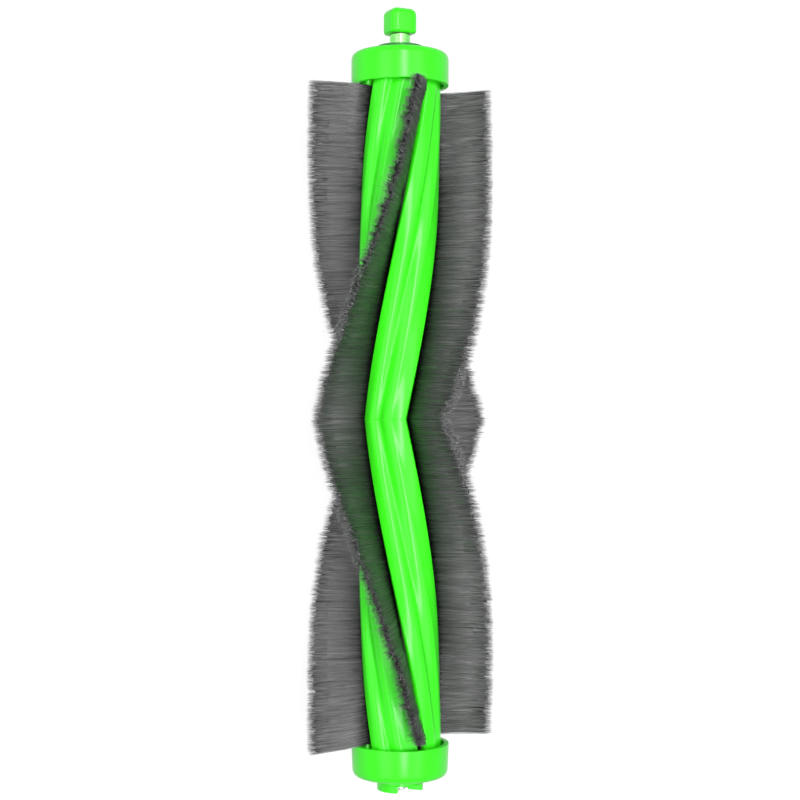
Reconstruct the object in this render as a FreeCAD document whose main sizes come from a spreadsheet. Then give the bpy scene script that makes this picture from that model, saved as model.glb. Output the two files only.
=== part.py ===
import FreeCAD, Part
import math
import os
import Sketcher
from FreeCAD import Placement, Rotation, Vector

# Roller brush of a floor-cleaning robot.
# It lies on its bristle tips with its axis along Y and the bearing end towards +Y.
# The origin is on the axis, at the middle of the overall length.
# All sizes are in millimetres and degrees.

SIZES = {
    # Core, measured from the kink where its two halves meet
    "bearing_run": 117.5,
    "drive_run": 113.8,
    "twist_lead": 379.0,
    "first_row_angle": -89.15,
    "valley_floor_radius": 12.9,
    "valley_floor_angle": 10.5,
    "crest_radius": 14.2,
    "crest_angle": 15.5,
    "rib_radius": 14.35,
    "rib_angle": 24.0,
    "lip_radius": 13.7,
    "lip_angle": 36.0,
    "spigot_radius": 5.2,
    "spigot_length": 9.0,
    # Bristle channel in the core
    "channel_floor": 8.4,
    "channel_ledge": 10.8,
    "channel_half_width": 2.3,
    "mouth_floor": 11.6,
    "mouth_half_width": 1.25,
    # Bristle strips
    "backing_floor": 1.0,
    "curtain_half_foot": 0.9,
    "curtain_half_tip": 2.0,
    "curtain_neck_radius": 12.6,
    "curtain_bend_radius": 18.0,
    "tip_radius": 33.2,
    "kink_lean": 5.0,
    "bearing_end_lean": 28.0,
    "drive_end_lean": 23.5,
    "lean_growth": 2.5,
    "tuft_depth": 0.6,
    "strip_end_gap": 1.2,
    # How far each strip's last tips are combed outwards along the axis
    "bearing_splay_1": 0.0,
    "bearing_splay_2": 0.9,
    "bearing_splay_3": 0.9,
    "bearing_splay_4": 2.1,
    "drive_splay_1": -3.7,
    "drive_splay_2": -0.9,
    "drive_splay_3": 0.9,
    "drive_splay_4": 3.2,
    # End caps
    "cap_radius": 17.2,
    "cap_height": 11.7,
    "cap_skirt": 1.7,
    "cap_wall": 2.6,
    "cap_edge_radius": 2.8,
    "cap_draft": 0.5,
    "hub_radius": 6.4,
    "hub_length": 5.0,
    "seat_radius": 7.4,
    "seat_height": 1.1,
    "boss_radius": 8.5,
    "boss_height": 2.4,
    "dog_height": 2.35,
    "dog_inner_radius": 2.9,
    "dog_outer_radius": 8.1,
    "dog_angle": 103.0,
    "dog_direction": -74.0,
    # Axle and bearing
    "axle_radius": 2.0,
    "axle_chamfer": 0.4,
    "washer_radius": 8.4,
    "washer_thickness": 1.2,
    "washer_edge": 0.3,
    "sleeve_radius": 3.6,
    "journal_length": 4.5,
    "block_side": 10.0,
    "block_height": 9.0,
    "block_corner_radius": 2.8,
    "block_crown_radius": 2.3,
    "block_foot_radius": 1.0,
    "block_roof": 1.6,
    "block_direction": 11.0,
    "bush_radius": 3.5,
    "bush_length": 5.0,
    "ring_radius": 3.1,
    "ring_thickness": 0.6,
    "ring_gap": 2.2,
    "groove_depth": 0.35,
    "axle_end_gap": 0.4,
    # Clearances
    "slide_clearance": 0.1,
    "seat_clearance": 0.05,
    "running_clearance": 0.05,
    "grip_clearance": 0.05,
    "thrust_clearance": 0.2,
}

ROWS = 4
TUFTS = 12

doc = FreeCAD.newDocument("roller_brush")
sheet = doc.addObject("Spreadsheet::Sheet", "size")
for row, (name, default) in enumerate(SIZES.items(), start=1):
    sheet.set(f"A{row}", str(default))
    sheet.setAlias(f"A{row}", name)
doc.recompute()

# Lengths that several pieces share, as expressions of the sheet
CAP_DEPTH = "(size.cap_height - size.cap_wall)"
DRIVE_LENGTH = f"(size.drive_run + {CAP_DEPTH})"
BEARING_LENGTH = f"(size.bearing_run + {CAP_DEPTH})"
DOG_END = "(size.cap_height + size.boss_height + size.dog_height)"
SEAT_TOP = "(size.cap_height + size.seat_height)"
BLOCK_FOOT = f"({SEAT_TOP} + size.washer_thickness + size.journal_length)"
OVERALL = f"({DOG_END} + size.drive_run + size.bearing_run + {BLOCK_FOOT} + size.block_height)"
KINK = f"({DOG_END} + size.drive_run - {OVERALL} / 2)"
BEARING_RIM = f"({KINK} + size.bearing_run)"
DRIVE_RIM = f"({KINK} - size.drive_run)"
AXLE_BORE = "(size.axle_radius + size.seat_clearance)"
BUSH_FOOT = "(size.thrust_clearance)"
BLOCK_DEPTH = "(size.block_height - size.block_roof)"
RING_FOOT = f"({BUSH_FOOT} + size.bush_length + size.thrust_clearance)"

parts = []


def value(expression):
    """The number that an expression of the sheet stands for."""
    return float(sheet.evalExpression(expression))


def polar(radius, angle):
    """Two expressions: the corner at a radius and an angle about the axis."""
    return f"{radius} * cos({angle})", f"{radius} * sin({angle})"


def lay(part, station, end="bearing", spin=0.0):
    """Turn an upright piece onto the axis, with its foot at a station along Y.

    A piece of the bearing end points along +Y, a piece of the drive end along -Y.
    """
    tilt = -90 if end == "bearing" else 90
    turn = Rotation(Vector(1, 0, 0), tilt) * Rotation(Vector(0, 0, 1), spin)
    part.Placement = Placement(Vector(0, value(station), 0), turn)
    part.setExpression("Placement.Base.y", station)
    parts.append(part)


def local_angle(angle, end):
    """A clock angle, from +Z towards +X, as an angle in a laid piece's own XY plane."""
    return angle - 90 if end == "bearing" else 90 - angle


def new_body(label):
    body = doc.addObject("PartDesign::Body", label)
    body.Label = label
    return body


def origin_feature(body, role):
    return next(item for item in body.Origin.OriginFeatures if item.Role == role)


def new_sketch(body, name, plane="XY_Plane", lift=None):
    """A sketch on one of the body's own planes, raised by an expression if one is given."""
    sketch = body.newObject("Sketcher::SketchObject", name)
    sketch.AttachmentSupport = [(origin_feature(body, plane), "")]
    sketch.MapMode = "FlatFace"
    if lift is not None:
        sketch.setExpression("AttachmentOffset.Base.z", lift)
    return sketch


def bind(sketch, kind, geometry, point, expression):
    """A dimension from the sketch's origin or of a circle, bound to the sheet."""
    where = (geometry,) if point is None else (geometry, point)
    index = sketch.addConstraint(Sketcher.Constraint(kind, *where, value(expression)))
    sketch.setExpression(f"Constraints[{index}]", expression)


def add_polygon(sketch, corners):
    """A closed outline whose corners are pairs of expressions."""
    first = sketch.GeometryCount
    places = [Vector(value(across), value(along), 0) for across, along in corners]
    count = len(places)
    for index in range(count):
        sketch.addGeometry(Part.LineSegment(places[index], places[(index + 1) % count]), False)
    for index in range(count):
        following = first + (index + 1) % count
        sketch.addConstraint(Sketcher.Constraint("Coincident", first + index, 2, following, 1))
    for index, (across, along) in enumerate(corners):
        bind(sketch, "DistanceX", first + index, 1, across)
        bind(sketch, "DistanceY", first + index, 1, along)


def add_circle(sketch, radius):
    """A circle about the sketch's origin."""
    index = sketch.addGeometry(Part.Circle(Vector(), Vector(0, 0, 1), value(radius)), False)
    sketch.addConstraint(Sketcher.Constraint("Coincident", index, 3, -1, 1))
    bind(sketch, "Radius", index, None, radius)


def pad(body, name, sketch, length, downwards=False):
    feature = body.newObject("PartDesign::Pad", name)
    feature.Profile = sketch
    feature.Reversed = downwards
    feature.setExpression("Length", length)
    return feature


def pocket(body, name, sketch, depth, upwards=True):
    """A pocket that cuts along +Z of the body, or along -Z."""
    feature = body.newObject("PartDesign::Pocket", name)
    feature.Profile = sketch
    feature.Reversed = upwards
    feature.setExpression("Length", depth)
    return feature


def revolve(body, name, corners):
    """A turned solid about Z; its corners are pairs of radius and height."""
    section = new_sketch(body, f"{name}_section", "XZ_Plane")
    add_polygon(section, corners)
    feature = body.newObject("PartDesign::Revolution", name)
    feature.Profile = section
    feature.ReferenceAxis = (section, ["V_Axis"])
    feature.Angle = 360
    return feature


def round_edges(body, name, base, keep, radius):
    """A fillet on those edges of a feature for which keep(edge) is true."""
    doc.recompute()
    edges = base.Shape.Edges
    names = [f"Edge{index}" for index, edge in enumerate(edges, start=1) if keep(edge)]
    feature = body.newObject("PartDesign::Fillet", name)
    feature.Base = (base, names)
    feature.setExpression("Radius", radius)
    return feature


def at_height(edge, height):
    """True for an edge that lies in the plane Z = height."""
    box = edge.BoundBox
    return abs(box.ZMin - height) < 0.001 and abs(box.ZMax - height) < 0.001


def tube(label, outer, inner, length, station):
    """A plain ring or sleeve, pointing towards the bearing end."""
    body = new_body(label)
    section = new_sketch(body, f"{label}_section")
    add_circle(section, outer)
    add_circle(section, inner)
    wall = pad(body, f"{label}_wall", section, length)
    lay(body, station)
    return body, wall


def twist_guide(name, length, left_handed):
    """The helix that a twisted piece follows as it goes up the axis."""
    helix = doc.addObject("Part::Helix", name)
    helix.LocalCoord = 1 if left_handed else 0
    helix.setExpression("Pitch", "size.twist_lead")
    helix.setExpression("Height", length)
    helix.setExpression("Radius", "size.crest_radius")
    return helix


def twisted_pipe(body, name, section, length, guide):
    """A section carried up the body's Z axis, turning with the guide's helix."""
    path = new_sketch(body, f"{name}_path", "XZ_Plane")
    path.addGeometry(Part.LineSegment(Vector(), Vector(0, value(length), 0)), False)
    path.addConstraint(Sketcher.Constraint("Coincident", 0, 1, -1, 1))
    path.addConstraint(Sketcher.Constraint("PointOnObject", 0, 2, -2))
    bind(path, "DistanceY", 0, 2, length)
    feature = body.newObject("PartDesign::AdditivePipe", name)
    feature.Profile = section
    feature.Spine = (path, ["Edge1"])
    feature.Mode = "Auxiliary"
    feature.AuxiliarySpine = (guide, ["Edge1"])
    feature.AuxiliaryCurvilinear = True
    return feature


def core_outline():
    """The core's section: four bristle channels with a valleyed land between each two."""
    half = [
        polar("size.valley_floor_radius", "size.valley_floor_angle - 45"),
        polar("size.crest_radius", "size.crest_angle - 45"),
        polar("size.rib_radius", "size.rib_angle - 45"),
        polar("size.lip_radius", "size.lip_angle - 45"),
        ("size.mouth_floor", "-size.mouth_half_width"),
        ("size.channel_ledge", "-size.mouth_half_width"),
        ("size.channel_ledge", "-size.channel_half_width"),
        ("size.channel_floor", "-size.channel_half_width"),
    ]
    quarter = half + [(across, f"-({along})") for across, along in reversed(half)]
    corners = []
    for _ in range(ROWS):
        corners += quarter
        quarter = [(f"-({along})", across) for across, along in quarter]
    return corners


def core_half(end, length, guide):
    """One moulded half of the core, from the kink out to its end cap."""
    body = new_body(f"core_{end}_half")
    section = new_sketch(body, f"core_{end}_section")
    add_polygon(section, core_outline())
    twisted_pipe(body, f"core_{end}_lands", section, length, guide)
    key = new_sketch(body, f"core_{end}_key")
    if end == "bearing":
        flat = "size.spigot_radius"
        add_polygon(key, [polar(flat, str(60 * side)) for side in range(6)])
        pad(body, "core_spigot", key, "size.spigot_length", downwards=True)
        bore_foot = "-size.spigot_length"
        bore_length = f"{length} + size.spigot_length"
    else:
        flat = "(size.spigot_radius + size.slide_clearance)"
        add_polygon(key, [polar(flat, str(60 * side)) for side in range(6)])
        pocket(body, "core_socket", key, "size.spigot_length + size.slide_clearance")
        bore_foot = "0"
        bore_length = length
    bore = new_sketch(body, f"core_{end}_bore_ring", lift=bore_foot)
    add_circle(bore, AXLE_BORE)
    pocket(body, f"core_{end}_bore", bore, bore_length)
    hub_depth = "(size.hub_length + size.slide_clearance)"
    recess = new_sketch(body, f"core_{end}_recess_ring", lift=f"{length} - {hub_depth}")
    add_circle(recess, "size.hub_radius + size.seat_clearance")
    pocket(body, f"core_{end}_recess", recess, hub_depth)
    lay(body, KINK, end, local_angle(value("size.first_row_angle"), end))
    return body


# Backing: a channel strip that slides into the core from its end and grips the bristles
def backing(label, end, length, guide, angle):
    body = new_body(label)
    section = new_sketch(body, f"{label}_section")
    outer = "(size.channel_half_width - size.slide_clearance)"
    floor = "(size.channel_floor + size.slide_clearance)"
    top = "(size.channel_ledge - size.slide_clearance)"
    groove = "(size.curtain_half_foot + size.grip_clearance)"
    groove_floor = f"({floor} + size.backing_floor)"
    add_polygon(section, [
        (floor, f"-{outer}"),
        (top, f"-{outer}"),
        (top, f"-{groove}"),
        (groove_floor, f"-{groove}"),
        (groove_floor, groove),
        (top, groove),
        (top, outer),
        (floor, outer),
    ])
    twisted_pipe(body, f"{label}_strip", section, length, guide)
    lay(body, KINK, end, local_angle(angle, end))
    return body


def curtain_section(end, height, share, splay, pinch):
    """One cross-section of a bristle curtain, at a share of its length.

    The bristles leave the channel along the radius and then lean over: a little one way
    at the kink, and more and more the other way towards the end, where the tips are also
    combed along the axis by the splay. All tips are cut to one radius. Pinch is what each
    flank falls back at the tips, between two tufts.
    """
    foot = value("size.channel_floor + size.slide_clearance + size.backing_floor + size.grip_clearance")
    half_foot = value("size.curtain_half_foot")
    half_tip = value("size.curtain_half_tip") - pinch
    neck = value("size.curtain_neck_radius")
    bend = value("size.curtain_bend_radius")
    reach = value("size.tip_radius")
    growth = share ** value("size.lean_growth")
    hand = 1 if end == "bearing" else -1
    lean = hand * (value("size.kink_lean") * (1 - growth) - value(f"size.{end}_end_lean") * growth)
    lean = math.radians(lean)
    tip = Vector(reach * math.cos(lean), reach * math.sin(lean), 0)
    slope = math.atan2(tip.y, tip.x - bend)
    spread = half_tip / (reach * math.cos(slope - lean))
    turn = Rotation(Vector(0, 0, 1), hand * 360 * height / value("size.twist_lead"))

    def placed(point):
        lift = splay * share ** 6 * (point.x - foot) / (tip.x - foot)
        return turn.multVec(point) + Vector(0, 0, height + lift)

    def flank(side):
        corner = lean + side * spread
        curve = Part.BezierCurve()
        curve.setPoles([
            placed(Vector(foot, side * half_foot, 0)),
            placed(Vector(neck, side * half_foot, 0)),
            placed(Vector(bend, side * (half_foot + half_tip) / 2, 0)),
            placed(Vector(reach * math.cos(corner), reach * math.sin(corner), 0)),
        ])
        return curve

    left, right = flank(-1), flank(1)
    foot_line = Part.LineSegment(right.StartPoint, left.StartPoint)
    tip_line = Part.LineSegment(left.EndPoint, right.EndPoint)
    back = right.toShape()
    back.reverse()
    return Part.Wire([foot_line.toShape(), left.toShape(), tip_line.toShape(), back])


# Bristles: one dense curtain for each strip, as a loft through leaning sections that
# are thick in the middle of a tuft and pinched between two
def curtain(label, end, run, angle, splay):
    reach = value(f"{run} - size.strip_end_gap")
    sections = []
    for index in range(2 * TUFTS + 1):
        share = index / (2 * TUFTS)
        pinch = value("size.tuft_depth") if index % 2 == 0 else 0
        sections.append(curtain_section(end, share * reach, share, splay, pinch))
    part = doc.addObject("Part::Feature", label)
    part.Label = label
    part.Shape = Part.makeLoft(sections, True, True)
    lay(part, KINK, end, local_angle(angle, end))
    return part


bearing_guide = twist_guide("bearing_twist", BEARING_LENGTH, left_handed=False)
drive_guide = twist_guide("drive_twist", DRIVE_LENGTH, left_handed=True)
ENDS = (
    ("bearing", "size.bearing_run", BEARING_LENGTH, bearing_guide),
    ("drive", "size.drive_run", DRIVE_LENGTH, drive_guide),
)
for end, run, length, guide in ENDS:
    core_half(end, length, guide)
    for row in range(ROWS):
        angle = value("size.first_row_angle") + 360 / ROWS * row
        backing(f"backing_{end}_{row + 1}", end, length, guide, angle)
        splay = value(f"size.{end}_splay_{row + 1}")
        curtain(f"bristles_{end}_{row + 1}", end, run, angle, splay)

# Caps: cups that close the core's ends, with a hub that plugs into the core
RIM = "size.cap_radius"
SKIRT = f"({RIM} - size.cap_skirt)"
HUB_FOOT = f"({CAP_DEPTH} - size.hub_length)"


def cap_outline(end_radius, end_features):
    """Half the section of a cap: skirt, end wall, what stands on it, bore and hub."""
    return [
        (SKIRT, "0"),
        (RIM, "0"),
        (end_radius, "size.cap_height"),
        *end_features,
        (AXLE_BORE, HUB_FOOT),
        ("size.hub_radius", HUB_FOOT),
        ("size.hub_radius", CAP_DEPTH),
        (SKIRT, CAP_DEPTH),
    ]


def rounded_cap(label, end_radius, end_features, station, end, spin=0.0):
    body = new_body(label)
    cup = revolve(body, f"{label}_cup", cap_outline(end_radius, end_features))
    height = value("size.cap_height")
    radius = value(end_radius)

    def outer_edge(edge):
        return at_height(edge, height) and edge.BoundBox.XMax > radius - 0.001

    round_edges(body, f"{label}_round", cup, outer_edge, "size.cap_edge_radius")
    lay(body, station, end, spin)
    return body


rounded_cap("bearing_end_cap", RIM, [
    ("size.seat_radius", "size.cap_height"),
    ("size.seat_radius", SEAT_TOP),
    (AXLE_BORE, SEAT_TOP),
], BEARING_RIM, "bearing")

DOG_FOOT = "(size.cap_height + size.boss_height)"
drive_cap = rounded_cap("drive_end_cap", f"({RIM} - size.cap_draft)", [
    ("size.boss_radius", "size.cap_height"),
    ("size.boss_radius", DOG_FOOT),
    (AXLE_BORE, DOG_FOOT),
], DRIVE_RIM, "drive", local_angle(value("size.dog_direction"), "drive"))

# Dogs: two ring sectors on the boss that the machine's driver turns the brush by
dog_section = new_sketch(drive_cap, "dog_section", lift=DOG_FOOT)
half_dog = math.radians(value("size.dog_angle / 2"))
dog_arcs = ("size.dog_inner_radius", "size.dog_outer_radius")
for radius in dog_arcs:
    circle = Part.Circle(Vector(), Vector(0, 0, 1), value(radius))
    index = dog_section.addGeometry(Part.ArcOfCircle(circle, -half_dog, half_dog), False)
    dog_section.addConstraint(Sketcher.Constraint("Coincident", index, 3, -1, 1))
    bind(dog_section, "Radius", index, None, radius)
for point, sign in ((1, "-"), (2, "")):
    places = [dog_section.getPoint(arc, point) for arc in (0, 1)]
    index = dog_section.addGeometry(Part.LineSegment(*places), False)
    dog_section.addConstraint(Sketcher.Constraint("Coincident", index, 1, 0, point))
    dog_section.addConstraint(Sketcher.Constraint("Coincident", index, 2, 1, point))
    bind(dog_section, "DistanceY", 0, point, f"{sign}size.dog_inner_radius * sin(size.dog_angle / 2)")
    bind(dog_section, "DistanceY", 1, point, f"{sign}size.dog_outer_radius * sin(size.dog_angle / 2)")
first_dog = pad(drive_cap, "first_dog", dog_section, "size.dog_height")
both_dogs = drive_cap.newObject("PartDesign::PolarPattern", "both_dogs")
both_dogs.Originals = [first_dog]
both_dogs.Axis = (dog_section, ["N_Axis"])
both_dogs.Angle = 360
both_dogs.Occurrences = 2
drive_cap.Tip = both_dogs

# Axle: a steel rod through the whole brush, grooved for its retaining ring
axle = new_body("axle")
axle_end = f"({BLOCK_DEPTH} - size.axle_end_gap)"
axle_length = f"({OVERALL} - size.block_height + {axle_end})"
groove_foot = f"({OVERALL} - size.block_height + {RING_FOOT})"
groove_top = f"({groove_foot} + size.ring_thickness + size.seat_clearance)"
GROOVE = "(size.axle_radius - size.groove_depth)"
revolve(axle, "axle_rod", [
    ("0", "0"),
    ("size.axle_radius - size.axle_chamfer", "0"),
    ("size.axle_radius", "size.axle_chamfer"),
    ("size.axle_radius", groove_foot),
    (GROOVE, groove_foot),
    (GROOVE, groove_top),
    ("size.axle_radius", groove_top),
    ("size.axle_radius", f"{axle_length} - size.axle_chamfer"),
    ("size.axle_radius - size.axle_chamfer", axle_length),
    ("0", axle_length),
])
lay(axle, f"-{OVERALL} / 2")

# Washer and sleeve: they hold the bearing block off the turning cap
washer_station = f"{BEARING_RIM} + {SEAT_TOP}"
washer, disc = tube("thrust_washer", "size.washer_radius", "size.sleeve_radius + size.seat_clearance",
                    "size.washer_thickness", washer_station)
doc.recompute()
washer_edges = [f"Edge{index}" for index, edge in enumerate(disc.Shape.Edges, start=1)
                if edge.BoundBox.XMax > value("size.washer_radius") - 0.001
                and at_height(edge, edge.BoundBox.ZMin)]
bevel = washer.newObject("PartDesign::Chamfer", "washer_bevel")
bevel.Base = (disc, washer_edges)
bevel.setExpression("Size", "size.washer_edge")

tube("journal_sleeve", "size.sleeve_radius", AXLE_BORE,
     "size.washer_thickness + size.journal_length - size.thrust_clearance", washer_station)

# Block: the square bearing that sits still in the machine while the brush turns
block_station = f"{BEARING_RIM} + {BLOCK_FOOT}"
block = new_body("bearing_block")
square = new_sketch(block, "block_square")
SIDE = "size.block_side / 2"
add_polygon(square, [(SIDE, f"-{SIDE}"), (SIDE, SIDE), (f"-{SIDE}", SIDE), (f"-{SIDE}", f"-{SIDE}")])
blank = pad(block, "block_blank", square, "size.block_height")
corners = round_edges(block, "block_corners", blank,
                      lambda edge: edge.BoundBox.ZLength > 0.001, "size.block_corner_radius")
crown = round_edges(block, "block_crown", corners,
                    lambda edge: at_height(edge, value("size.block_height")), "size.block_crown_radius")
round_edges(block, "block_foot", crown, lambda edge: at_height(edge, 0), "size.block_foot_radius")
bush_seat = new_sketch(block, "bush_seat_ring")
add_circle(bush_seat, "size.bush_radius + size.seat_clearance / 2")
pocket(block, "bush_seat", bush_seat, BLOCK_DEPTH)
lay(block, block_station, "bearing", local_angle(value("size.block_direction"), "bearing"))

tube("bearing_bush", "size.bush_radius", "size.axle_radius + size.running_clearance",
     "size.bush_length", f"{block_station} + {BUSH_FOOT}")

ring, ring_wall = tube("retaining_ring", "size.ring_radius", f"{GROOVE} + size.seat_clearance / 2",
                       "size.ring_thickness", f"{block_station} + {RING_FOOT}")
opening = new_sketch(ring, "ring_opening")
OPEN = "size.ring_gap / 2"
add_polygon(opening, [("0", f"-{OPEN}"), ("size.ring_radius + 1", f"-{OPEN}"),
                      ("size.ring_radius + 1", OPEN), ("0", OPEN)])
pocket(ring, "ring_mouth", opening, "size.ring_thickness")

doc.recompute()
for item in doc.Objects:
    if "Invalid" in item.State or "Error" in item.State:
        raise RuntimeError(f"{item.Label} failed: {item.State}")
for part in parts:
    if part.Shape.isNull() or not part.Shape.isValid():
        raise RuntimeError(f"{part.Label} has no sound shape")

os.makedirs("parts", exist_ok=True)
for part in parts:
    part.Shape.exportStep(f"parts/{part.Label}.step")
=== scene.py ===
import math

import bpy
import numpy as np
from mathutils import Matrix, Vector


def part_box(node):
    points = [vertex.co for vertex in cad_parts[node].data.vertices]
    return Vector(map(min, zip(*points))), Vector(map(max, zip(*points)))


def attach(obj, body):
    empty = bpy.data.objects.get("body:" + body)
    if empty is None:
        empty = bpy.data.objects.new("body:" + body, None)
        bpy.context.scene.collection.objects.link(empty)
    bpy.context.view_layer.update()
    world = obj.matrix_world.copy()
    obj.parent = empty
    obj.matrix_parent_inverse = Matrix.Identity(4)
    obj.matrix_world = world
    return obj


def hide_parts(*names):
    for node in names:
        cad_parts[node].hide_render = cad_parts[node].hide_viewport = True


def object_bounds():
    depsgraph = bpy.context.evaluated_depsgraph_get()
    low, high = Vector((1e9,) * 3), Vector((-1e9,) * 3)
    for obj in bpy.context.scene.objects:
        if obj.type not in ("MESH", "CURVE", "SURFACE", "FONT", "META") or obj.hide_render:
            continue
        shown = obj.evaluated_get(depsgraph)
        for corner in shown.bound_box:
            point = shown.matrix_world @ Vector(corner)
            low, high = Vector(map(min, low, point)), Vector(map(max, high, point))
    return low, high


# Roller brush of a floor-cleaning robot, lying on its bristle tips.
# Its axis runs along Y, with the bearing block towards +Y. Sizes are in metres.
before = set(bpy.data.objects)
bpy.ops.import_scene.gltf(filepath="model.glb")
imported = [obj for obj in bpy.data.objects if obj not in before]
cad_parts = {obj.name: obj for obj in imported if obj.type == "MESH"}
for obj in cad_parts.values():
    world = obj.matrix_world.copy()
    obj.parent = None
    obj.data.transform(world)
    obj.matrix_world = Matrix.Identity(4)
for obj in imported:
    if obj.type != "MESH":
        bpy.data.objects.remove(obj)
cad_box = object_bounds()
MM = 0.001


# Axle: a ground steel rod through the whole brush. Only its end shows, between the
# drive dogs, so the CAD rod stays and gets a turned steel finish.
def principled(name, roughness, metallic=0.0, specular=0.5):
    """A node material with one Principled shader, and that shader."""
    material = bpy.data.materials.new(name)
    material.use_nodes = True
    shader = next(node for node in material.node_tree.nodes if node.type == "BSDF_PRINCIPLED")
    shader.inputs["Roughness"].default_value = roughness
    shader.inputs["Metallic"].default_value = metallic
    shader.inputs["Specular IOR Level"].default_value = specular
    return material, shader


def add_node(material, kind, **values):
    """A new node with its input sockets set by name."""
    node = material.node_tree.nodes.new(kind)
    for socket, number in values.items():
        node.inputs[socket.replace("_", " ")].default_value = number
    return node


def object_noise(material, scale, detail=3.0, stretch=(1.0, 1.0, 1.0)):
    """Noise over the object's own coordinates, in cycles per metre, stretched by axis."""
    links = material.node_tree.links
    coordinates = add_node(material, "ShaderNodeTexCoord")
    mapping = add_node(material, "ShaderNodeMapping", Scale=stretch)
    noise = add_node(material, "ShaderNodeTexNoise", Scale=scale, Detail=detail)
    links.new(coordinates.outputs["Object"], mapping.inputs["Vector"])
    links.new(mapping.outputs["Vector"], noise.inputs["Vector"])
    return noise.outputs["Fac"]


def ramp(material, source, *stops):
    """A colour ramp from a factor; each stop is a place and a colour."""
    node = add_node(material, "ShaderNodeValToRGB")
    elements = node.color_ramp.elements
    while len(elements) < len(stops):
        elements.new(1.0)
    for element, (place, colour) in zip(elements, stops):
        element.position = place
        element.color = (*colour, 1.0)
    material.node_tree.links.new(source, node.inputs["Fac"])
    return node.outputs["Color"]


def bump(material, shader, source, strength, depth):
    """A bump of a given depth in metres from a factor."""
    node = add_node(material, "ShaderNodeBump", Strength=strength, Distance=depth)
    material.node_tree.links.new(source, node.inputs["Height"])
    material.node_tree.links.new(node.outputs["Normal"], shader.inputs["Normal"])


def number_range(material, source, low, high):
    """A factor spread between two numbers."""
    node = add_node(material, "ShaderNodeMapRange", To_Min=low, To_Max=high)
    material.node_tree.links.new(source, node.inputs["Value"])
    return node.outputs["Result"]


def turned_metal(name, dark, light, roughness):
    """Turned metal: fine rings round Y in its tone, its roughness and its bump."""
    material, shader = principled(name, roughness, metallic=1.0)
    rings = object_noise(material, scale=900.0, stretch=(0.15, 6.0, 0.15))
    polish = number_range(material, rings, roughness * 0.7, roughness * 1.4)
    links = material.node_tree.links
    links.new(ramp(material, rings, (0.3, dark), (0.7, light)), shader.inputs["Base Color"])
    links.new(polish, shader.inputs["Roughness"])
    bump(material, shader, rings, strength=0.25, depth=0.05 * MM)
    return material


def dress(node, material):
    """Give a CAD node's own mesh another material."""
    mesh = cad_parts[node].data
    mesh.materials.clear()
    mesh.materials.append(material)


dress("axle", turned_metal("ground_steel", dark=(0.42, 0.42, 0.43), light=(0.72, 0.72, 0.74), roughness=0.24))


# Core: two injection-moulded halves of glossy lime plastic that meet at the kink. Each
# half carries four twisted lands, with a shallow valley between two ribs, and the
# undercut channels that the bristle strips slide into.
ROWS = 4
ROW_PITCH = 2 * math.pi / ROWS
LAND_HALF = ROW_PITCH / 2
FIRST_ROW = math.radians(-89.15)
FULL_TURN = 379.0 * MM
TWIST = 2 * math.pi / FULL_TURN
OUTWARD = {"bearing": 1, "drive": -1}
HALF_STATIONS = 64
PARTING_DEPTH = 0.06 * MM
PARTING_WIDTH = 0.12 * MM
FIRST_STATION = 0.6 * MM

# A land from lip to lip: degrees from its middle, and the radius there in millimetres.
# The two ribs rise to 14.35, and the valley between them goes down to 12.8.
LAND_KNOTS = (
    (-35.3, 13.80), (-28.0, 14.10), (-22.3, 14.31), (-20.5, 14.35), (-17.5, 14.30), (-14.9, 14.11),
    (-12.5, 13.81), (-10.3, 13.41), (-8.0, 12.95), (-6.8, 12.80), (-5.5, 12.86), (-1.0, 13.36),
    (3.2, 13.88), (6.0, 14.12), (9.0, 14.28), (12.0, 14.35), (13.5, 14.29), (15.5, 14.14),
    (17.5, 14.07), (22.0, 14.00), (28.0, 13.92), (35.3, 13.72),
)
LAND_STEPS = 79
KNOT_ROUNDING = 4
LIP_EDGE = math.radians(35.3)

# One side of a channel from its mouth to its floor: the height up the channel's middle
# line, and the distance from that line, in millimetres.
CHANNEL_SIDE = ((13.1, 1.75), (12.4, 1.42), (11.6, 1.25), (10.8, 1.25), (10.8, 2.3), (8.4, 2.3), (8.4, 0.9))

# The halves meet at the kink, and each runs outwards from it along Y.
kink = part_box("core_drive_half")[1][1]
half_length = {
    "bearing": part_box("core_bearing_half")[1][1] - kink,
    "drive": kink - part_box("core_drive_half")[0][1],
}


def surface(name, rings, capped):
    """A closed surface through rings of points, each ring closed on itself.

    The first and last ring are filled where it is capped, and joined to each other
    where it isn't. Faces are turned outwards by the sign of the enclosed volume.
    """
    count, around = rings.shape[:2]
    index = np.arange(count * around).reshape(count, around)
    following = np.roll(index, -1, axis=1)
    upper = np.roll(index, -1, axis=0)
    upper_following = np.roll(following, -1, axis=0)
    quads = np.stack([index, following, upper_following, upper], axis=-1)
    if capped:
        quads = quads[:-1]
    quads = quads.reshape(-1, 4)
    points = rings.reshape(-1, 3)
    first, second, third, fourth = (points[quads[:, side]] for side in range(4))
    volume = np.einsum("ij,ij->", first, np.cross(second, third) + np.cross(third, fourth))
    flip = -1 if volume < 0 else 1
    faces = quads[:, ::flip].tolist()
    if capped:
        faces.append(index[0][::-flip].tolist())
        faces.append(index[-1][::flip].tolist())
    mesh = bpy.data.meshes.new(name)
    mesh.from_pydata(points.tolist(), [], faces)
    mesh.polygons.foreach_set("use_smooth", np.ones(len(faces), bool))
    mesh.set_sharp_from_angle(angle=math.radians(50))
    piece = bpy.data.objects.new(name, mesh)
    bpy.context.collection.objects.link(piece)
    return piece


def around_axis(radius, angle, along):
    """Points about the brush's axis, from radius, angle from the top and place along Y."""
    return np.stack([radius * np.sin(angle), along, radius * np.cos(angle)], axis=-1)


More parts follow.
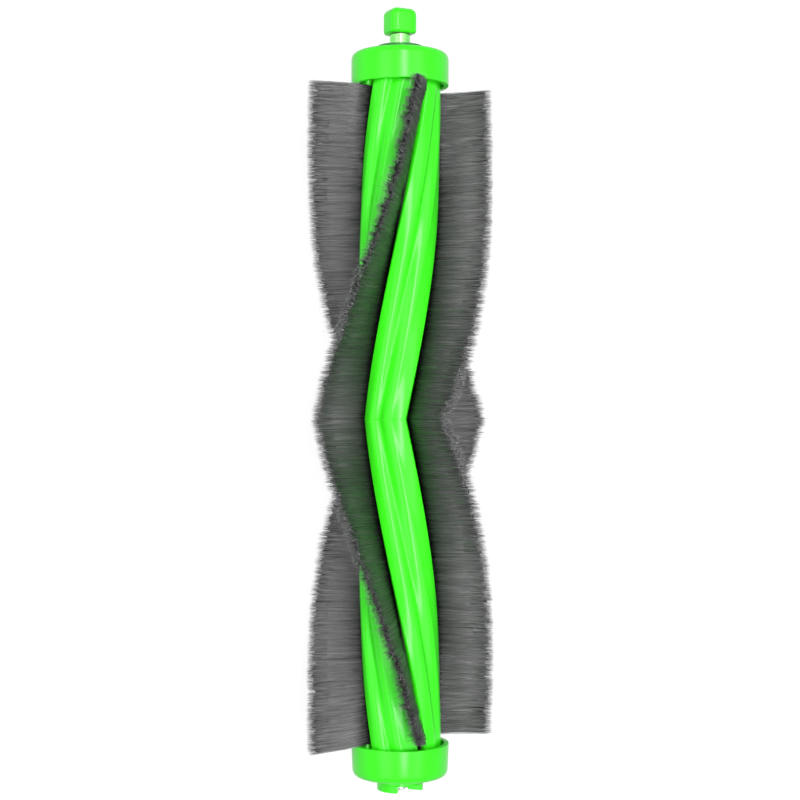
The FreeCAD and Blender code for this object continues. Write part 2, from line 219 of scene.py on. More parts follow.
def finish_piece(piece, material, body, slot, *nodes):
    """Give a new piece its material and its body, and hide the nodes it stands for. The slot is not used."""
    piece.data.materials.append(material)
    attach(piece, body)
    if nodes:
        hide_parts(*nodes)


def moulded(name, shade, body_colour, light, roughness, specular, grain):
    """Moulded plastic: slow drifts in its green and a fine orange-peel skin."""
    material, shader = principled(name, roughness, specular=specular)
    drift = object_noise(material, scale=60.0, detail=2.0)
    skin = object_noise(material, scale=2600.0, detail=2.0)
    colours = ramp(material, drift, (0.25, shade), (0.5, body_colour), (0.75, light))
    polish = number_range(material, drift, roughness * 0.93, roughness * 1.07)
    material.node_tree.links.new(colours, shader.inputs["Base Color"])
    material.node_tree.links.new(polish, shader.inputs["Roughness"])
    bump(material, shader, skin, strength=0.12, depth=grain)
    return material


def land_profile():
    """A land from lip to lip, as radius and angle from its middle.

    The radius goes by straight lines between the knots, and is then rounded by means
    over neighbouring points.
    """
    knot_angle, knot_radius = np.array(LAND_KNOTS).T
    angle = np.linspace(-LIP_EDGE, LIP_EDGE, LAND_STEPS)
    radius = np.interp(angle, np.radians(knot_angle), knot_radius * MM)
    for _ in range(KNOT_ROUNDING):
        radius = np.convolve(np.pad(radius, 1, mode="edge"), [0.25, 0.5, 0.25], mode="valid")
    return radius, angle


def core_outline():
    """The whole section, as radius and angle from the middle of the first channel.

    A quarter goes over a land and down one side of the next channel, and up its other
    side, which is the first one mirrored. The four quarters are alike.
    """
    land_radius, land_angle = land_profile()
    height, aside = np.array(CHANNEL_SIDE).T * MM
    side_radius = np.hypot(height, aside)
    side_angle = LAND_HALF - np.arctan2(aside, height)
    radius = np.concatenate([land_radius, side_radius, side_radius[::-1]])
    angle = np.concatenate([land_angle, side_angle, 2 * LAND_HALF - side_angle[::-1]]) + LAND_HALF
    quarters = np.arange(ROWS)[:, None] * ROW_PITCH
    return np.tile(radius, ROWS), (quarters + angle[None, :]).ravel()


def core_half(end):
    """The section carried along Y from the kink, turned in step with its distance.

    Its first ring is smaller by the depth of the parting line.
    """
    radius, angle = core_outline()
    stations = np.linspace(FIRST_STATION, half_length[end], HALF_STATIONS)
    distance = np.concatenate([[0.0, PARTING_WIDTH], stations])[:, None]
    radius = radius[None, :] - np.where(distance == 0.0, PARTING_DEPTH, 0.0)
    angle = FIRST_ROW + angle[None, :] + TWIST * distance
    along = np.broadcast_to(kink + OUTWARD[end] * distance, angle.shape)
    return surface(f"core_{end}_moulding", around_axis(radius, angle, along), capped=True)


lime_plastic = moulded(
    "lime_plastic", shade=(0.038, 0.82, 0.008), body_colour=(0.042, 0.85, 0.010),
    light=(0.047, 0.88, 0.013), roughness=0.28, specular=0.35, grain=0.04 * MM,
)
for end in OUTWARD:
    finish_piece(core_half(end), lime_plastic, "brush", "green_plastic", f"core_{end}_half")


# Backings: folded black strips that grip the bristles and slide into the channels. They
# are almost hidden, so the CAD strips stay and get a dull, lightly drawn finish.
def drawn_plastic(name, dark, light):
    """Dull plastic with streaks along Y from the drawing of the strip."""
    material, shader = principled(name, roughness=0.6)
    streaks = object_noise(material, scale=1500.0, stretch=(1.0, 0.05, 1.0))
    colours = ramp(material, streaks, (0.35, dark), (0.7, light))
    material.node_tree.links.new(colours, shader.inputs["Base Color"])
    bump(material, shader, streaks, strength=0.2, depth=0.03 * MM)
    return material


black_strip = drawn_plastic("black_strip", dark=(0.012, 0.012, 0.013), light=(0.03, 0.03, 0.032))
for end in OUTWARD:
    for row in range(ROWS):
        dress(f"backing_{end}_{row + 1}", black_strip)


# Bristles: each strip is a dense curtain of fine grey nylon fibres. They leave the
# channel along the radius and lean over, one way at the ends and the other way at the
# kink, and they are cut to one radius and stand in small clumps at their tips.
ROOT_RADIUS = 9.7 * MM
NECK_RADIUS = 12.6 * MM
BEND_RADIUS = 18.0 * MM
TIP_RADIUS = 33.15 * MM
ROOT_HALF_WIDTH = 0.83 * MM
TIP_HALF_WIDTH = 1.92 * MM
TUFT_DEPTH = 0.6 * MM
TUFTS = 12
STRIP_END_GAP = 1.2 * MM

# Lean, as the tip's angle from the root, with what each row is combed over at the kink.
KINK_LEAN = math.radians(5.0)
KINK_COMBING = (0.0, math.radians(7.0), 0.0, 0.0)
END_LEAN = {"bearing": math.radians(-28.0), "drive": math.radians(-23.5)}
LEAN_GROWTH = 2.5

# Drift of the tips along Y: with the lean, after a rise over the strip's first eighth,
# and by what each row's end is splayed.
LEAN_DRIFT = 0.19
DRIFT_RISE = 8.0
SPLAY_GROWTH = 6
END_SPLAY = {
    "bearing": (0.0 * MM, 0.9 * MM, 0.9 * MM, 2.1 * MM),
    "drive": (-3.7 * MM, -0.9 * MM, 0.9 * MM, 4.5 * MM),
}

# Unevenness along a strip, in clumps and locks: angle, share of the radius, length, tone.
CLUMP = 0.55 * MM
LOCK = 1.9 * MM
COMB_SPREADS = {"lean": 0.011, "cut": 0.003, "tilt": 0.12 * MM, "tone": 0.09}

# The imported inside, at levels up the height, with the share of the thickness it fills.
MASS_STEP = 0.25 * MM
MASS_MARGIN = 0.004
MASS_LEVELS = np.array([0.1, 0.28, 0.42, 0.56, 0.7, 0.84, 0.96])
MASS_FILL = np.array([0.75, 0.66, 0.66, 0.7, 0.7, 0.6, 0.3])
MASS_FRAY = 0.07
MASS_TILT = 0.3
MASS_TONE, MASS_TONE_SPREAD = 0.45, 0.13

# Fibres: long ones over the flanks and short tips over the top, thinner at each level.
SHELL_FIBRES = 2800
SHELL_INNER = 0.82
SHELL_LEVELS = np.array([0.1, 0.38, 0.7, 0.96, 1.0])
SHELL_LEVEL_SPREAD = np.array([0.0, 0.08, 0.08, 0.0, 0.0])
SHELL_THICKNESS = np.array([1.0, 0.95, 0.78, 0.5])
TIP_FIBRES = 2400
TIP_SPAN = 0.85
TIP_LEVELS = np.array([0.82, 0.94, 1.0])
TIP_THICKNESS = np.array([0.65, 0.5])
FIBRE_RADIUS = 0.075 * MM
FIBRE_LEAN_SPREAD = 0.016
FIBRE_TILT_SPREAD = 0.25 * MM
FIBRE_SHORTENING = 0.045
STRAY_SHARE, STRAY_GAIN = 0.04, 3.0
FIBRE_TONE, FIBRE_TONE_SPREAD = 0.5, 0.16
FIRST_SEED = {"bearing": 11, "drive": 31}

floor_level = cad_box[0][2]
cap_rim = {"bearing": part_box("bearing_end_cap")[0][1], "drive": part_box("drive_end_cap")[1][1]}


def eased(share):
    """Smoothstep: three times the square less twice the cube, between 0 and 1."""
    share = np.clip(share, 0.0, 1.0)
    return share * share * (3.0 - 2.0 * share)


def combed(rng, run, spread):
    """A random curve along a strip, as a function of the place.

    It is the sum of two curves of normal draws joined by straight lines: one with its
    draws a clump apart and one with its draws a lock apart.
    """
    curves = []
    for step in (CLUMP, LOCK):
        knots = np.arange(-step, run + 2 * step, step)
        curves.append((knots, rng.normal(0.0, spread, len(knots))))
    return lambda place: sum(np.interp(place, knots, draws) for knots, draws in curves)


def strip_points(end, row, share, run, across, lean_change, cut, tilt, level):
    """Points of a strip, from shares of its length and thickness and levels up its height.

    Each fibre is a cubic Bezier curve in the plane across the axis, with poles at its root,
    neck, bend and tip. The tip's angle from the root is the lean, which goes from the
    kink's to the end's by a power of the place. Across the strip, a fibre keeps its share
    of the thickness, which swells and shrinks along the strip in a triangle wave, one wave
    for each tuft. The whole is turned by the strip's twist, and shifted along Y by the
    drift times the square of the level. No fibre goes under the floor.
    """
    lean = KINK_LEAN + (END_LEAN[end] - KINK_LEAN) * share ** LEAN_GROWTH
    lean = lean + KINK_COMBING[row] * (1 - share) ** 2
    splay = share ** SPLAY_GROWTH
    drift = (tilt - LEAN_DRIFT * TIP_RADIUS * np.sin(lean)) * eased(share * DRIFT_RISE) * (1 - splay)
    drift = drift + END_SPLAY[end][row] * splay
    lean = lean + lean_change
    slope = np.arctan2(cut * np.sin(lean), cut * np.cos(lean) - BEND_RADIUS)
    half_tip = TIP_HALF_WIDTH - TUFT_DEPTH * np.abs(1 - 2 * np.mod(share * TUFTS, 1.0))
    corner = lean + across * half_tip / (cut * np.cos(slope - lean))
    foot = (1 - level) ** 3
    neck = 3 * level * (1 - level) ** 2
    bend = 3 * level ** 2 * (1 - level)
    tip = level ** 3
    up = foot * ROOT_RADIUS + neck * NECK_RADIUS + bend * BEND_RADIUS + tip * cut * np.cos(corner)
    width = (foot + neck) * ROOT_HALF_WIDTH + bend * (ROOT_HALF_WIDTH + half_tip) / 2
    side = across * width + tip * cut * np.sin(corner)
    radius = np.hypot(up, side)
    angle = FIRST_ROW + row * ROW_PITCH + TWIST * run * share + np.arctan2(side, up)
    along = np.broadcast_to(kink + OUTWARD[end] * (run * share + drift * level ** 2), radius.shape)
    points = around_axis(radius, angle, along)
    points[..., 2] = np.maximum(points[..., 2], floor_level + FIBRE_RADIUS)
    return points


def label_points(mesh, **labels):
    """Store a number for each point under each label, for the material to read."""
    for label, numbers in labels.items():
        attribute = mesh.attributes.new(label, "FLOAT", "POINT")
        attribute.data.foreach_set("value", np.asarray(numbers, np.float32).ravel())


def bristle_mass(end, row, run, rng, comb):
    """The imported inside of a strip: a closed sheet that follows the strip's clumps.

    It goes up one flank's levels and down the other's, and is frayed at its top.
    """
    count = int(run / MASS_STEP)
    share = np.linspace(MASS_MARGIN, 1.0 - MASS_MARGIN, count)[:, None]
    place = share * run
    level = np.concatenate([MASS_LEVELS, MASS_LEVELS[::-1]])[None, :]
    across = np.concatenate([MASS_FILL, -MASS_FILL[::-1]])[None, :]
    cut = TIP_RADIUS * (1.0 + comb["cut"](place) - MASS_FRAY * rng.random((count, 1)))
    tilt = MASS_TILT * comb["tilt"](place)
    points = strip_points(end, row, share, run, across, comb["lean"](place), cut, tilt, level)
    piece = surface(f"bristle_mass_{end}_{row + 1}", points, capped=True)
    tone = MASS_TONE + comb["tone"](place) + rng.normal(0.0, MASS_TONE_SPREAD, (count, 1))
    label_points(
        piece.data,
        tone=np.broadcast_to(np.clip(tone, 0.0, 1.0), points.shape[:2]),
        reach=np.broadcast_to(level, points.shape[:2]),
    )
    return piece


def fibre_lines(end, row, run, rng, comb, across, levels):
    """Points along fibres at given shares of the thickness, and each fibre's tone."""
    count = len(across)
    place = (np.arange(count) + rng.random(count)) / count * run
    stray = np.where(rng.random(count) < STRAY_SHARE, STRAY_GAIN, 1.0)
    lean_change = comb["lean"](place) + stray * rng.normal(0.0, FIBRE_LEAN_SPREAD, count)
    cut = TIP_RADIUS * (1.0 + comb["cut"](place) - FIBRE_SHORTENING * rng.random(count) ** 3)
    tilt = comb["tilt"](place) + stray * rng.normal(0.0, FIBRE_TILT_SPREAD, count)
    tone = FIBRE_TONE + comb["tone"](place) + rng.normal(0.0, FIBRE_TONE_SPREAD, count)
    columns = (values[:, None] for values in (place / run, across, lean_change, cut, tilt))
    share, across, lean_change, cut, tilt = columns
    points = strip_points(end, row, share, run, across, lean_change, cut, tilt, levels)
    return points, np.clip(tone, 0.0, 1.0)


def prisms(points, thickness, rng):
    """Slim closed prisms of three sides about lines of points, each ending in a point.

    Gives the vertices, three for every point but the last of a line, and the triangles.
    """
    count, length = points.shape[:2]
    rings = length - 1
    heading = np.gradient(points, axis=1)
    heading /= np.linalg.norm(heading, axis=2)[:, :, None]
    first = np.cross(heading, np.array([0.0, 1.0, 0.0]))
    first /= np.linalg.norm(first, axis=2)[:, :, None]
    second = np.cross(heading, first)
    turn = rng.uniform(0.0, 2 * math.pi, count)[:, None] + np.arange(3)[None, :] * 2 * math.pi / 3
    ring = np.cos(turn)[:, None, :, None] * first[:, :rings, None, :]
    ring = ring + np.sin(turn)[:, None, :, None] * second[:, :rings, None, :]
    ring = points[:, :rings, None, :] + FIBRE_RADIUS * thickness[None, :, None, None] * ring
    vertices = np.concatenate([ring.reshape(count, rings * 3, 3), points[:, rings:, :]], axis=1)
    sides = ((0, 1), (1, 2), (2, 0))
    last = 3 * (rings - 1)
    triangles = [(0, 2, 1)]
    for low in range(0, last, 3):
        for a, b in sides:
            triangles += [(low + a, low + b, low + b + 3), (low + a, low + b + 3, low + a + 3)]
    triangles += [(last + a, last + b, last + 3) for a, b in sides]
    per_line = 3 * rings + 1
    corners = np.arange(count)[:, None, None] * per_line + np.array(triangles)[None]
    return vertices.reshape(-1, 3), corners.reshape(-1, 3)


def bristle_strip(end, row, run, rng, comb):
    """A strip's fibres: long ones over both flanks of the mass, and tips all over its top."""
    flank = np.where(rng.random(SHELL_FIBRES) < 0.5, -1.0, 1.0)
    across = flank * rng.uniform(SHELL_INNER, 1.0, SHELL_FIBRES)
    levels = SHELL_LEVELS + SHELL_LEVEL_SPREAD * rng.uniform(-1.0, 1.0, (SHELL_FIBRES, 1))
    shell, shell_tone = fibre_lines(end, row, run, rng, comb, across, levels)
    across = rng.uniform(-TIP_SPAN, TIP_SPAN, TIP_FIBRES)
    tips, tip_tone = fibre_lines(end, row, run, rng, comb, across, TIP_LEVELS[None, :])
    vertices, corners = prisms(shell, SHELL_THICKNESS, rng)
    tip_vertices, tip_corners = prisms(tips, TIP_THICKNESS, rng)
    corners = np.concatenate([corners, tip_corners + len(vertices)])
    vertices = np.concatenate([vertices, tip_vertices])
    name = f"bristle_fibres_{end}_{row + 1}"
    mesh = bpy.data.meshes.new(name)
    mesh.vertices.add(len(vertices))
    mesh.vertices.foreach_set("co", vertices.ravel())
    mesh.loops.add(corners.size)
    mesh.loops.foreach_set("vertex_index", corners.ravel())
    mesh.polygons.add(len(corners))
    mesh.polygons.foreach_set("loop_start", np.arange(0, corners.size, 3))
    mesh.polygons.foreach_set("use_smooth", np.ones(len(corners), bool))
    mesh.update(calc_edges=True)
    shell_reach = np.append(np.repeat(SHELL_LEVELS[:-1], 3), 1.0)
    tip_reach = np.append(np.repeat(TIP_LEVELS[:-1], 3), 1.0)
    label_points(
        mesh,
        tone=np.concatenate([np.repeat(shell_tone, len(shell_reach)), np.repeat(tip_tone, len(tip_reach))]),
        reach=np.concatenate([np.tile(shell_reach, SHELL_FIBRES), np.tile(tip_reach, TIP_FIBRES)]),
    )
    piece = bpy.data.objects.new(name, mesh)
    bpy.context.collection.objects.link(piece)
    return piece


def nylon(name, roughness, sheen, tip_sheen, root, middle, tip):
    """Grey nylon with a tone for each fibre: darker and duller towards the root, as painted shade deep in the
    channel, and duller at the tip.
    """
    material, shader = principled(name, roughness)
    shader.inputs["IOR"].default_value = 2.7
    links = material.node_tree.links
    reach = add_node(material, "ShaderNodeAttribute")
    reach.attribute_name = "reach"
    tone = add_node(material, "ShaderNodeAttribute")
    tone.attribute_name = "tone"
    # Towards the root the gloss fades nearly to nothing: painted shade deep in the channel.
    gloss_stops_with_root_shade = ((0.3, 0.04 * sheen), (0.8, sheen), (0.86, sheen), (0.94, tip_sheen))
    gloss_with_root_shade = ramp(material, reach.outputs["Fac"], *((place, (level,) * 3) for place, level in gloss_stops_with_root_shade))
    links.new(gloss_with_root_shade, shader.inputs["Specular IOR Level"])
    # Darker towards the root: painted shade deep in the channel.
    along = ramp(material, reach.outputs["Fac"], (0.15, root), (0.6, middle), (0.95, tip))
    shade = ramp(material, tone.outputs["Fac"], (0.1, (0.5, 0.5, 0.5)), (0.9, (1.0, 1.0, 1.0)))
    mix = add_node(material, "ShaderNodeMix")
    mix.data_type = "RGBA"
    mix.blend_type = "MULTIPLY"
    mix.inputs["Factor"].default_value = 1.0
    links.new(along, mix.inputs["A"])
    links.new(shade, mix.inputs["B"])
    links.new(mix.outputs["Result"], shader.inputs["Base Color"])
    return material


fibre_nylon = nylon(
    "nylon_fibre", roughness=0.4, sheen=0.65, tip_sheen=0.55,
    root=(0.006, 0.007, 0.006), middle=(0.022, 0.024, 0.023), tip=(0.032, 0.034, 0.034),
)
# The packed inside is also darker at its top than in its middle: painted shade among the fibre tips.
packed_nylon = nylon(
    "packed_nylon", roughness=0.6, sheen=0.35, tip_sheen=0.05,
    root=(0.010, 0.011, 0.010), middle=(0.022, 0.023, 0.022), tip=(0.014, 0.014, 0.014),
)
for end in OUTWARD:
    run = abs(cap_rim[end] - kink) - STRIP_END_GAP
    for row in range(ROWS):
        rng = np.random.default_rng(FIRST_SEED[end] + row)
        comb = {label: combed(rng, run, spread) for label, spread in COMB_SPREADS.items()}
        finish_piece(bristle_mass(end, row, run, rng, comb), packed_nylon, "brush", "bristle")
        strip = bristle_strip(end, row, run, rng, comb)
        finish_piece(strip, fibre_nylon, "brush", "bristle", f"bristles_{end}_{row + 1}")


# End caps: moulded cups of the same lime plastic that close the core's ends and hold
# the strips in. The bearing end's has a low seat for the washer. The drive end's has a
# round boss, and its two dogs are moulded on it.
TURNED_STEPS = 192
CAP_SKIRT = 1.7 * MM
CAP_HEIGHT = 11.7 * MM
CAP_WALL = 2.6 * MM
CAP_ROUND = 2.8 * MM
CAP_DRAFT = 0.5 * MM
HUB_RADIUS = 6.4 * MM
HUB_LENGTH = 5.0 * MM
BORE_RADIUS = 2.05 * MM
SEAT_RADIUS = 7.4 * MM
BOSS_RADIUS = 8.5 * MM
BOSS_HEIGHT = 2.4 * MM
DOG_INNER = 2.9 * MM
DOG_OUTER = 8.1 * MM
DOG_HALF = math.radians(51.5)
DOG_DIRECTION = math.radians(-74.0)
DOG_STEPS = 25
DOG_ROOT = 0.2 * MM
DOG_EDGE = 0.35 * MM

cap_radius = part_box("bearing_end_cap")[1][0]
seat_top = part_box("bearing_end_cap")[1][1] - cap_rim["bearing"]
boss_top = CAP_HEIGHT + BOSS_HEIGHT
drive_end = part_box("drive_end_cap")[0][1]


def rounded(corners, reaches, steps=4):
    """A closed outline with each corner replaced by a parabola.

    The parabola touches the corner's two sides at the given distance from the corner.
    """
    corners = np.asarray(corners, float)
    reaches = np.broadcast_to(np.asarray(reaches, float), len(corners))[:, None]
    before = np.roll(corners, 1, axis=0) - corners
    after = np.roll(corners, -1, axis=0) - corners
    start = corners + before / np.linalg.norm(before, axis=1)[:, None] * reaches
    end = corners + after / np.linalg.norm(after, axis=1)[:, None] * reaches
    share = np.linspace(0.0, 1.0, steps)[None, :, None]
    arcs = (1 - share) ** 2 * start[:, None] + share ** 2 * end[:, None]
    arcs = arcs + 2 * share * (1 - share) * corners[:, None]
    return arcs.reshape(-1, 2)


def turned(name, outline, foot, outward):
    """A closed outline of radius and height, revolved about the brush's axis.

    Height is measured from the foot's station, outwards along Y.
    """
    angle = np.linspace(0.0, 2 * math.pi, TURNED_STEPS, endpoint=False)[:, None]
    radius, height = outline.T[:, None, :]
    along = np.broadcast_to(foot + outward * height, (TURNED_STEPS, outline.shape[0]))
    return surface(name, around_axis(radius, angle, along), capped=False)


def cap_outline(end_radius, end_shape, end_rounds):
    """The cup's section: skirt, end wall, what stands on it, bore and hub."""
    depth = CAP_HEIGHT - CAP_WALL
    hub_foot = depth - HUB_LENGTH
    corners = [
        (cap_radius - CAP_SKIRT, 0.0), (cap_radius, 0.0), (end_radius, CAP_HEIGHT), *end_shape,
        (BORE_RADIUS, hub_foot), (HUB_RADIUS, hub_foot), (HUB_RADIUS, depth), (cap_radius - CAP_SKIRT, depth),
    ]
    rounds = [0.3 * MM, 0.4 * MM, CAP_ROUND, *end_rounds, 0.1 * MM, 0.3 * MM, 0.3 * MM, 0.6 * MM]
    return rounded(corners, rounds, steps=7)


def dog(name, direction):
    """A ring sector that stands on the boss: a square section turned through its angle."""
    angle = np.linspace(direction - DOG_HALF, direction + DOG_HALF, DOG_STEPS)[:, None]
    radius = np.array([[DOG_INNER, DOG_OUTER, DOG_OUTER, DOG_INNER]])
    foot = cap_rim["drive"] - boss_top + DOG_ROOT
    along = np.broadcast_to([foot, foot, drive_end, drive_end], (DOG_STEPS, 4))
    piece = surface(name, around_axis(radius, angle, along), capped=True)
    edges = piece.modifiers.new("edges", "BEVEL")
    edges.width = DOG_EDGE
    edges.segments = 3
    edges.angle_limit = math.radians(40)
    return piece


bearing_section = cap_outline(
    end_radius=cap_radius,
    end_shape=[(SEAT_RADIUS, CAP_HEIGHT), (SEAT_RADIUS, seat_top), (BORE_RADIUS, seat_top)],
    end_rounds=[0.3 * MM, 0.3 * MM, 0.2 * MM],
)
bearing_cap = turned("bearing_end_cup", bearing_section, cap_rim["bearing"], OUTWARD["bearing"])
finish_piece(bearing_cap, lime_plastic, "brush", "green_plastic", "bearing_end_cap")

drive_section = cap_outline(
    end_radius=cap_radius - CAP_DRAFT,
    end_shape=[(BOSS_RADIUS, CAP_HEIGHT), (BOSS_RADIUS, boss_top), (BORE_RADIUS, boss_top)],
    end_rounds=[0.4 * MM, 0.35 * MM, 0.2 * MM],
)
drive_cap = turned("drive_end_cup", drive_section, cap_rim["drive"], OUTWARD["drive"])
finish_piece(drive_cap, lime_plastic, "brush", "green_plastic", "drive_end_cap")

for number, direction in enumerate((DOG_DIRECTION, DOG_DIRECTION + math.pi), start=1):
    finish_piece(dog(f"drive_dog_{number}", direction), lime_plastic, "brush", "green_plastic")


# Washer and sleeve: a dull green nylon disc that the block's thrust runs on, and a
# drawn steel sleeve on the axle, whose green base colour is a painted reflection of the lime plastic round
# it.
WASHER_CLEARANCE = 0.05 * MM
WASHER_EDGE = 0.3 * MM
SLEEVE_EDGE = 0.2 * MM


def plain_ring(name, inner, edge, low, high):
    """A ring that fills its box: a rectangle with rounded corners, revolved."""
    outer = high[0]
    height = high[1] - low[1]
    section = rounded([(inner, 0.0), (outer, 0.0), (outer, height), (inner, height)], edge)
    return turned(name, section, low[1], OUTWARD["bearing"])


sleeve_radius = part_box("journal_sleeve")[1][0]
washer = plain_ring("thrust_disc", sleeve_radius + WASHER_CLEARANCE, WASHER_EDGE, *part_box("thrust_washer"))
dull_green = moulded(
    "dull_green_nylon", shade=(0.03, 0.20, 0.045), body_colour=(0.04, 0.24, 0.055),
    light=(0.05, 0.28, 0.065), roughness=0.45, specular=0.3, grain=0.05 * MM,
)
finish_piece(washer, dull_green, "brush", "washer_plastic", "thrust_washer")

sleeve = plain_ring("journal_tube", BORE_RADIUS, SLEEVE_EDGE, *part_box("journal_sleeve"))
# The sleeve's green base colour is a painted reflection of the green parts round it.
steel_with_painted_green_reflection = turned_metal("sleeve_steel", dark=(0.16, 0.72, 0.12), light=(0.34, 0.95, 0.28), roughness=0.3)
finish_piece(sleeve, steel_with_painted_green_reflection, "brush", "sleeve_steel", "journal_sleeve")


# Bearing block: a square moulding with rounded corners and a domed top. It stands still
# in the machine while the brush turns in the bush pressed into it. The bush is sintered
# bronze, and a spring steel ring keeps it on the axle.
BLOCK_DIRECTION = math.radians(11.0)
BLOCK_HALF = 5.0 * MM
BLOCK_CORNER = 2.8 * MM
BLOCK_CROWN = 2.3 * MM
BLOCK_FOOT = 1.0 * MM
BLOCK_DOME = 0.25 * MM
CORNER_STEPS = 12
FOOT_STEPS = 6
CROWN_STEPS = 10
DOME_SHARES = (0.8, 0.55, 0.3, 0.1)
BUSH_SEAT = 3.525 * MM
BUSH_DEPTH = 7.4 * MM
BORE_BEVEL = 0.15 * MM
BORE_FLARE = 1.04


def square_ring(inset):
    """A rounded square, set in from the block's outline: quarter circles about four centres."""
    quarters = np.arange(4)[:, None] * math.pi / 2
    turn = np.linspace(0.0, math.pi / 2, CORNER_STEPS)[None, :] + quarters
    corner = quarters + math.pi / 4
    centre = (BLOCK_HALF - BLOCK_CORNER) * math.sqrt(2)
    across = centre * np.cos(corner) + (BLOCK_CORNER - inset) * np.cos(turn)
    up = centre * np.sin(corner) + (BLOCK_CORNER - inset) * np.sin(turn)
    return np.stack([across.ravel(), up.ravel()], axis=-1)


def block_rings(height):
    """Rings of the block, from the bore's end out round the foot, the sides and the top.

    The foot and the crown are quarter circles of inset and height. The top is the
    crown's last ring at shares of its size, raised by one less the share's square.
    """
    outline = square_ring(0.0)
    bore = outline / np.linalg.norm(outline, axis=1)[:, None] * BUSH_SEAT
    rings = [(bore, BUSH_DEPTH), (bore, BORE_BEVEL), (bore * BORE_FLARE, 0.0)]
    for turn in np.linspace(0.0, math.pi / 2, FOOT_STEPS):
        rings.append((square_ring(BLOCK_FOOT * (1 - math.sin(turn))), BLOCK_FOOT * (1 - math.cos(turn))))
    shoulder = height - BLOCK_DOME
    for turn in np.linspace(0.0, math.pi / 2, CROWN_STEPS):
        inset = BLOCK_CROWN * (1 - math.cos(turn))
        rings.append((square_ring(inset), shoulder - BLOCK_CROWN * (1 - math.sin(turn))))
    last = square_ring(BLOCK_CROWN)
    rings += [(last * share, shoulder + BLOCK_DOME * (1 - share ** 2)) for share in DOME_SHARES]
    return rings


def bearing_block():
    """The block's rings, turned to its direction about the brush's axis."""
    low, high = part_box("bearing_block")
    points = []
    for outline, height in block_rings(high[1] - low[1]):
        angle = BLOCK_DIRECTION + np.arctan2(outline[:, 1], outline[:, 0])
        along = np.full(len(outline), low[1] + height)
        points.append(around_axis(np.hypot(*outline.T), angle, along))
    return surface("bearing_block_moulding", np.array(points), capped=True)


bronze = turned_metal("sintered_bronze", dark=(0.36, 0.22, 0.10), light=(0.60, 0.40, 0.20), roughness=0.45)
spring_steel = turned_metal("spring_steel", dark=(0.30, 0.30, 0.31), light=(0.55, 0.55, 0.57), roughness=0.35)
dress("bearing_bush", bronze)
dress("retaining_ring", spring_steel)
finish_piece(bearing_block(), lime_plastic, "block", "green_plastic", "bearing_block")


# Floor, lamps and camera: a white sweep under soft light from near the camera, seen as
# in the photograph, from straight above the brush but turned a little about its axis.
VIEW_TURN = math.radians(-16.0)
VIEW_DISTANCE = 583 * MM
VIEW_SHIFT = 2.5 * MM
MM_PER_PIXEL = 0.353
HORIZON_ROW = 412
FOCAL_PIXELS = 1651
FRAME_PIXELS = 800
HALF_FLOOR = 2.0


def background_rays(tree):
    """One for a ray from the camera, a mirror or clear glass: the largest of the three."""
    path = tree.nodes.new("ShaderNodeLightPath")
    seen = path.outputs["Is Camera Ray"]
    for ray in ("Is Glossy Ray", "Is Transmission Ray"):
        larger = tree.nodes.new("ShaderNodeMath")
        larger.operation = "MAXIMUM"
        tree.links.new(seen, larger.inputs[0])
        tree.links.new(path.outputs[ray], larger.inputs[1])
        seen = larger.outputs["Value"]
    return seen


def white_floor():
    """Matt white that mostly glows where it is background, so that the shadow stays faint."""
    material, shader = principled("white_floor", roughness=0.9, specular=0.1)
    shader.inputs["Base Color"].default_value = (0.5, 0.5, 0.5, 1.0)
    links = material.node_tree.links
    glow = add_node(material, "ShaderNodeEmission", Strength=1.12)
    share = add_node(material, "ShaderNodeMath")
    share.operation = "MULTIPLY"
    share.inputs[1].default_value = 0.85
    links.new(background_rays(material.node_tree), share.inputs[0])
    mix = add_node(material, "ShaderNodeMixShader")
    links.new(share.outputs["Value"], mix.inputs["Fac"])
    links.new(shader.outputs["BSDF"], mix.inputs[1])
    links.new(glow.outputs["Emission"], mix.inputs[2])
    output = next(node for node in material.node_tree.nodes if node.type == "OUTPUT_MATERIAL")
    links.new(mix.outputs["Shader"], output.inputs["Surface"])
    return material


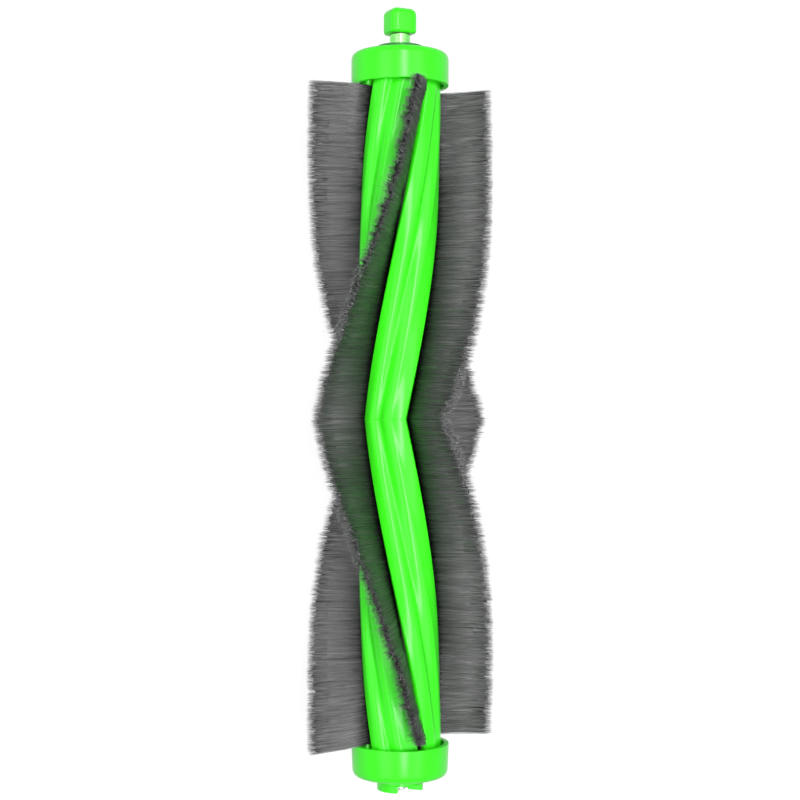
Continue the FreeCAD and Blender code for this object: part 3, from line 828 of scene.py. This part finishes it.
def white_world():
    """An even white surround: dimmer as light than as seen by the camera or in a mirror."""
    world = bpy.data.worlds.new("studio")
    world.use_nodes = True
    tree = world.node_tree
    background = next(node for node in tree.nodes if node.type == "BACKGROUND")
    background.inputs["Color"].default_value = (1.0, 1.0, 1.0, 1.0)
    strength = tree.nodes.new("ShaderNodeMapRange")
    strength.inputs["To Min"].default_value = 0.1
    strength.inputs["To Max"].default_value = 1.0
    tree.links.new(background_rays(tree), strength.inputs["Value"])
    tree.links.new(strength.outputs["Result"], background.inputs["Strength"])
    return world


def lamp(name, turn, station, distance, width, length, power):
    """A soft box turned about the brush's axis from the top, facing the axis."""
    data = bpy.data.lights.new(name, "AREA")
    data.shape = "RECTANGLE"
    data.size = width
    data.size_y = length
    data.energy = power
    box = bpy.data.objects.new(name, data)
    box.location = (distance * math.sin(turn), station, distance * math.cos(turn))
    box.rotation_euler = (0.0, turn, 0.0)
    bpy.context.collection.objects.link(box)


floor_mesh = bpy.data.meshes.new("floor")
floor_corners = ((-HALF_FLOOR, -HALF_FLOOR), (HALF_FLOOR, -HALF_FLOOR), (HALF_FLOOR, HALF_FLOOR),
                 (-HALF_FLOOR, HALF_FLOOR))
floor_mesh.from_pydata([(x, y, floor_level) for x, y in floor_corners], [], [(0, 1, 2, 3)])
floor_mesh.materials.append(white_floor())
floor = bpy.data.objects.new("floor", floor_mesh)
bpy.context.collection.objects.link(floor)

bpy.context.scene.world = white_world()
lamp("key_box", math.radians(-6.0), station=0.05, distance=0.75, width=0.11, length=0.9, power=6.6)
lamp("left_box", math.radians(-50.0), station=0.0, distance=0.75, width=0.4, length=1.0, power=2.6)
lamp("right_box", math.radians(26.0), station=0.0, distance=0.75, width=0.3, length=1.0, power=2.0)

camera_data = bpy.data.cameras.new("camera")
camera_data.sensor_width = 36.0
camera_data.lens = camera_data.sensor_width * FOCAL_PIXELS / FRAME_PIXELS
camera = bpy.data.objects.new("camera", camera_data)
horizon_drop = (HORIZON_ROW - FRAME_PIXELS / 2) * MM_PER_PIXEL * MM
aside, height = VIEW_DISTANCE * math.sin(VIEW_TURN), VIEW_DISTANCE * math.cos(VIEW_TURN)
camera.location = (aside, kink + VIEW_SHIFT, height)
camera.rotation_euler = (math.atan2(horizon_drop, VIEW_DISTANCE), VIEW_TURN, 0.0)
bpy.context.collection.objects.link(camera)
bpy.context.scene.camera = camera
bpy.context.scene.view_settings.view_transform = "Standard"
